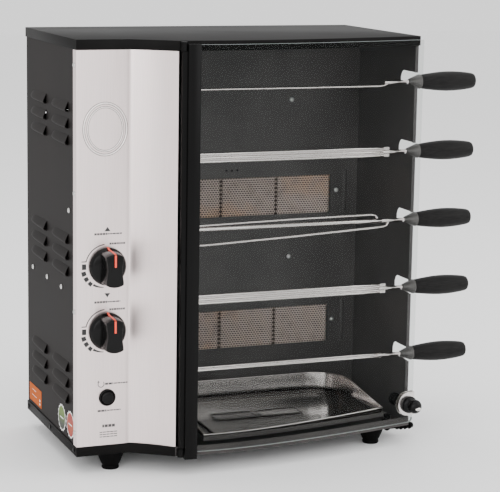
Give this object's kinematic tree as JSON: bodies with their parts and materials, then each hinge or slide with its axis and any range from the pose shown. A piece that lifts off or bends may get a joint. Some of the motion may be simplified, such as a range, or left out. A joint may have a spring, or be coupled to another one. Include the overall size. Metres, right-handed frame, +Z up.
{
  "type": "rotisserie oven",
  "caption": "Upright gas rotisserie oven: sheet cabinet with control panel, curved glass door, ceramic burners in the back wall and a column of driven spits with handles.",
  "frame": {"origin": "middle of the bounding box at the soles of the feet", "axes": "+X to the right seen from the front, along the spits to their handles; +Y to the back; +Z up"},
  "size_m": [0.6392, 0.3404, 0.616],
  "materials": {
    "black_paint": "satin black paint",
    "liner_paint": "dark satin paint",
    "stainless": "brushed stainless steel",
    "door_glass": "clear curved glass",
    "stile_black": "satin black",
    "handle_plastic": "matt black heat-resistant plastic",
    "knob_plastic": "glossy black plastic",
    "rubber": "black rubber",
    "ceramic": "porous burner ceramic",
    "brass": "turned brass",
    "zinc_steel": "zinc-plated steel"
  },
  "bodies": {
    "cabinet": {"base_pan": "black_paint", "lid": "black_paint", "left_side_panel": "black_paint", "right_side_panel": "liner_paint", "rear_cover": "black_paint", "burner_wall": "liner_paint", "drive_partition": "liner_paint", "control_panel": "stainless", "drip_tray": "stainless", "foot_front_left": "rubber", "foot_front_right": "rubber", "foot_rear_left": "rubber", "foot_rear_right": "rubber", "hinge_lower": "stile_black", "hinge_upper": "stile_black", "burner_box_lower": "zinc_steel", "burner_box_upper": "zinc_steel", "burner_tiles_lower": "ceramic", "burner_tiles_upper": "ceramic", "gas_valve_lower": "brass", "gas_valve_upper": "brass", "feed_pipe_lower": "zinc_steel", "feed_pipe_upper": "zinc_steel", "supply_pipe": "zinc_steel", "hose_nozzle": "rubber", "switch_body": "knob_plastic", "cord_gland": "rubber", "gear_motor": "zinc_steel", "drive_chain": "zinc_steel", "socket_bush_1": "brass", "socket_bush_2": "brass", "socket_bush_3": "brass", "socket_bush_4": "brass", "socket_bush_5": "brass"},
    "door": {"door_stile": "stile_black", "door_glass": "door_glass", "latch_clip": "stainless", "latch_knob": "knob_plastic", "latch_bumper": "rubber"},
    "socket_1": {"spit_socket_1": "zinc_steel"},
    "skewer_1": {"spit_1": "stainless", "spit_handle_1": "handle_plastic"},
    "socket_2": {"spit_socket_2": "zinc_steel"},
    "skewer_2": {"spit_2": "stainless", "spit_handle_2": "handle_plastic"},
    "socket_3": {"spit_socket_3": "zinc_steel"},
    "skewer_3": {"spit_3": "stainless", "spit_handle_3": "handle_plastic"},
    "socket_4": {"spit_socket_4": "zinc_steel"},
    "skewer_4": {"spit_4": "stainless", "spit_handle_4": "handle_plastic"},
    "socket_5": {"spit_socket_5": "zinc_steel"},
    "skewer_5": {"spit_5": "stainless", "spit_handle_5": "handle_plastic"},
    "spindle_lower": {"valve_spindle_lower": "brass"},
    "knob_lower": {"control_knob_lower": "knob_plastic"},
    "spindle_upper": {"valve_spindle_upper": "brass"},
    "knob_upper": {"control_knob_upper": "knob_plastic"},
    "button": {"push_button": "knob_plastic"}
  },
  "joints": [
    {"name": "door_hinge", "type": "hinge", "parent": "cabinet", "child": "door", "pos_m": [-0.17595, -0.16425, 0.326], "axis": [0, 0, -1], "range_deg": [0, 120]},
    {"name": "socket_spin_1", "type": "hinge", "parent": "cabinet", "child": "socket_1", "pos_m": [-0.18345, -0.07525, 0.129], "axis": [1, 0, 0], "continuous": true},
    {"name": "spit_pull_1", "type": "slide", "parent": "socket_1", "child": "skewer_1", "axis": [1, 0, 0], "range_m": [0, 0.02]},
    {"name": "socket_spin_2", "type": "hinge", "parent": "cabinet", "child": "socket_2", "pos_m": [-0.18345, -0.07525, 0.2331], "axis": [1, 0, 0], "continuous": true},
    {"name": "spit_pull_2", "type": "slide", "parent": "socket_2", "child": "skewer_2", "axis": [1, 0, 0], "range_m": [0, 0.02]},
    {"name": "socket_spin_3", "type": "hinge", "parent": "cabinet", "child": "socket_3", "pos_m": [-0.18345, -0.07525, 0.3372], "axis": [1, 0, 0], "continuous": true},
    {"name": "spit_pull_3", "type": "slide", "parent": "socket_3", "child": "skewer_3", "axis": [1, 0, 0], "range_m": [0, 0.02]},
    {"name": "socket_spin_4", "type": "hinge", "parent": "cabinet", "child": "socket_4", "pos_m": [-0.18345, -0.07525, 0.4413], "axis": [1, 0, 0], "continuous": true},
    {"name": "spit_pull_4", "type": "slide", "parent": "socket_4", "child": "skewer_4", "axis": [1, 0, 0], "range_m": [0, 0.02]},
    {"name": "socket_spin_5", "type": "hinge", "parent": "cabinet", "child": "socket_5", "pos_m": [-0.18345, -0.07525, 0.5454], "axis": [1, 0, 0], "continuous": true},
    {"name": "spit_pull_5", "type": "slide", "parent": "socket_5", "child": "skewer_5", "axis": [1, 0, 0], "range_m": [0, 0.02]},
    {"name": "valve_turn_lower", "type": "hinge", "parent": "cabinet", "child": "spindle_lower", "pos_m": [-0.27145, -0.11725, 0.207], "axis": [0, -1, 0], "range_deg": [0, 200]},
    {"name": "knob_push_lower", "type": "slide", "parent": "spindle_lower", "child": "knob_lower", "axis": [0, 1, 0], "range_m": [0, 0.003], "stiffness_N_per_m": 400, "springref_m": -0.003},
    {"name": "valve_turn_upper", "type": "hinge", "parent": "cabinet", "child": "spindle_upper", "pos_m": [-0.27145, -0.11725, 0.3], "axis": [0, -1, 0], "range_deg": [0, 200]},
    {"name": "knob_push_upper", "type": "slide", "parent": "spindle_upper", "child": "knob_upper", "axis": [0, 1, 0], "range_m": [0, 0.003], "stiffness_N_per_m": 400, "springref_m": -0.003},
    {"name": "button_push", "type": "slide", "parent": "cabinet", "child": "button", "axis": [0, 1, 0], "range_m": [0, 0.0025], "stiffness_N_per_m": 300, "springref_m": -0.003}
  ],
  "couplings": [
    {"joint": "socket_spin_1", "follows": "socket_spin_3", "ratio": 1},
    {"joint": "socket_spin_2", "follows": "socket_spin_3", "ratio": 1},
    {"joint": "socket_spin_4", "follows": "socket_spin_3", "ratio": 1},
    {"joint": "socket_spin_5", "follows": "socket_spin_3", "ratio": 1}
  ]
}
